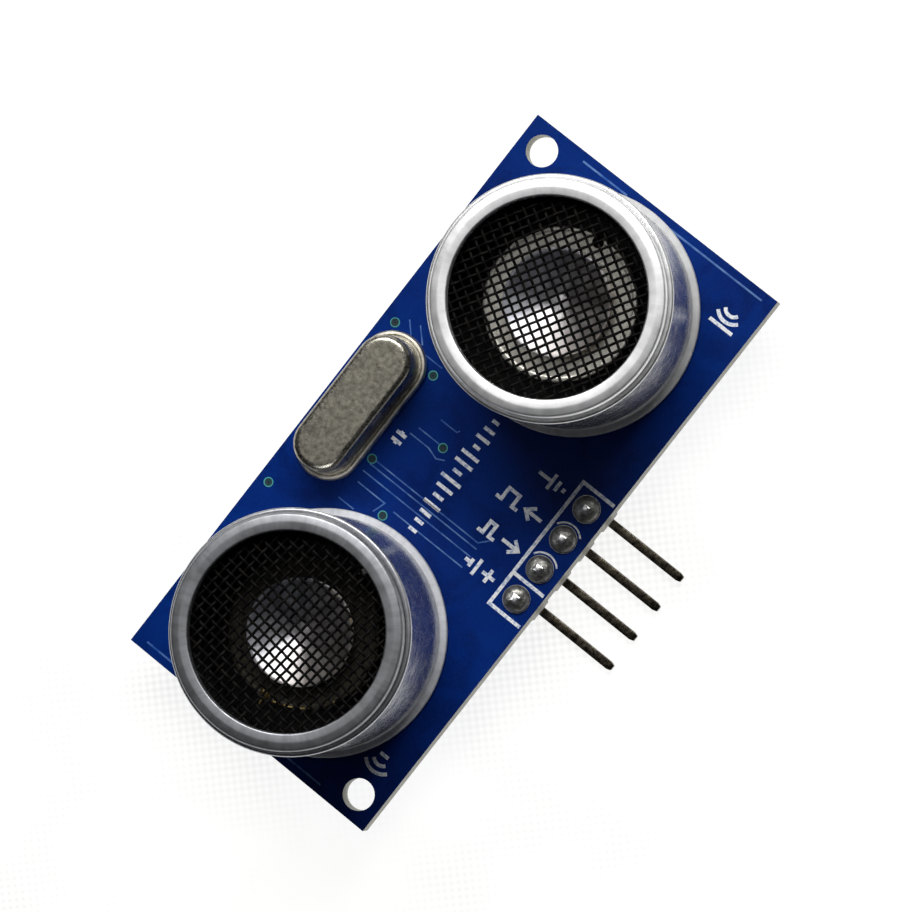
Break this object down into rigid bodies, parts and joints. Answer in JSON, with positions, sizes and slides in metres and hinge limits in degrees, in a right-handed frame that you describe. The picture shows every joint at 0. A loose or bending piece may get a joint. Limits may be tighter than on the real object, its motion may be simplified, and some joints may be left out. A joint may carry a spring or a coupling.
{
  "type": "ultrasonic distance sensor",
  "caption": "Ultrasonic distance sensor board: a pair of round screened transducers standing on a narrow circuit board, with a crystal and a bent pin header.",
  "frame": {"origin": "centre of the board's back face, midway between the two mounting holes", "axes": "+X along the board's length towards the receiver, +Y across the board away from the pin header, +Z out of the front face, the way the transducers point"},
  "size_m": [0.045, 0.0265, 0.0169],
  "materials": {
    "board": "glossy blue solder mask on glass-fibre laminate, pale fibre at the cut edges",
    "copper_pad": "tinned copper rings",
    "via_ring": "copper ring under thin blue-green mask",
    "can_metal": "matte drawn aluminium with a rolled lip",
    "screen_wire": "blackened woven wire cloth",
    "cone_metal": "bright spun aluminium",
    "transmitter_plate": "darkened brass with a bright edge",
    "receiver_plate": "dull tinned sheet",
    "ceramic": "fired ceramic, matte",
    "silicone": "soft cured silicone",
    "base_plastic": "black moulded resin",
    "lead_metal": "tinned wire",
    "copper_wire": "enamelled copper wire",
    "solder": "solder with flux sheen",
    "crystal_metal": "warm grey satin nickel",
    "bead_glass": "opaque green sealing glass",
    "quartz": "clear quartz strip",
    "header_plastic": "ivory moulded nylon",
    "pin_metal": "plated square wire, tarnished",
    "chip_plastic": "black moulding compound",
    "leg_metal": "tin plating",
    "resistor_film": "glazed black film",
    "capacitor_ceramic": "tan fired ceramic"
  },
  "bodies": {
    "root": {"circuit_board": "board", "header_pads": "copper_pad", "back_pads": "copper_pad", "vias": "via_ring", "transmitter_can": "can_metal", "transmitter_screen": "screen_wire", "transmitter_cone": "cone_metal", "transmitter_plate": "transmitter_plate", "transmitter_piezo": "ceramic", "transmitter_damper": "silicone", "transmitter_base": "base_plastic", "transmitter_leads": "lead_metal", "transmitter_wires": "copper_wire", "transmitter_solder": "solder", "receiver_can": "can_metal", "receiver_screen": "screen_wire", "receiver_cone": "cone_metal", "receiver_plate": "receiver_plate", "receiver_piezo": "ceramic", "receiver_damper": "silicone", "receiver_base": "base_plastic", "receiver_leads": "lead_metal", "receiver_wires": "copper_wire", "receiver_solder": "solder", "crystal_can": "crystal_metal", "crystal_base": "crystal_metal", "crystal_beads": "bead_glass", "crystal_leads": "lead_metal", "crystal_clips": "lead_metal", "crystal_blank": "quartz", "crystal_solder": "solder", "header_strip": "header_plastic", "power_pin": "pin_metal", "trigger_pin": "pin_metal", "echo_pin": "pin_metal", "ground_pin": "pin_metal", "header_solder": "solder", "controller_chip": "chip_plastic", "controller_legs": "leg_metal", "driver_chip": "chip_plastic", "driver_legs": "leg_metal", "amplifier_chip": "chip_plastic", "amplifier_legs": "leg_metal", "transistor_body": "chip_plastic", "transistor_legs": "leg_metal", "resistor_bodies": "resistor_film", "resistor_caps": "leg_metal", "capacitor_bodies": "capacitor_ceramic", "capacitor_caps": "leg_metal"}
  },
  "joints": []
}
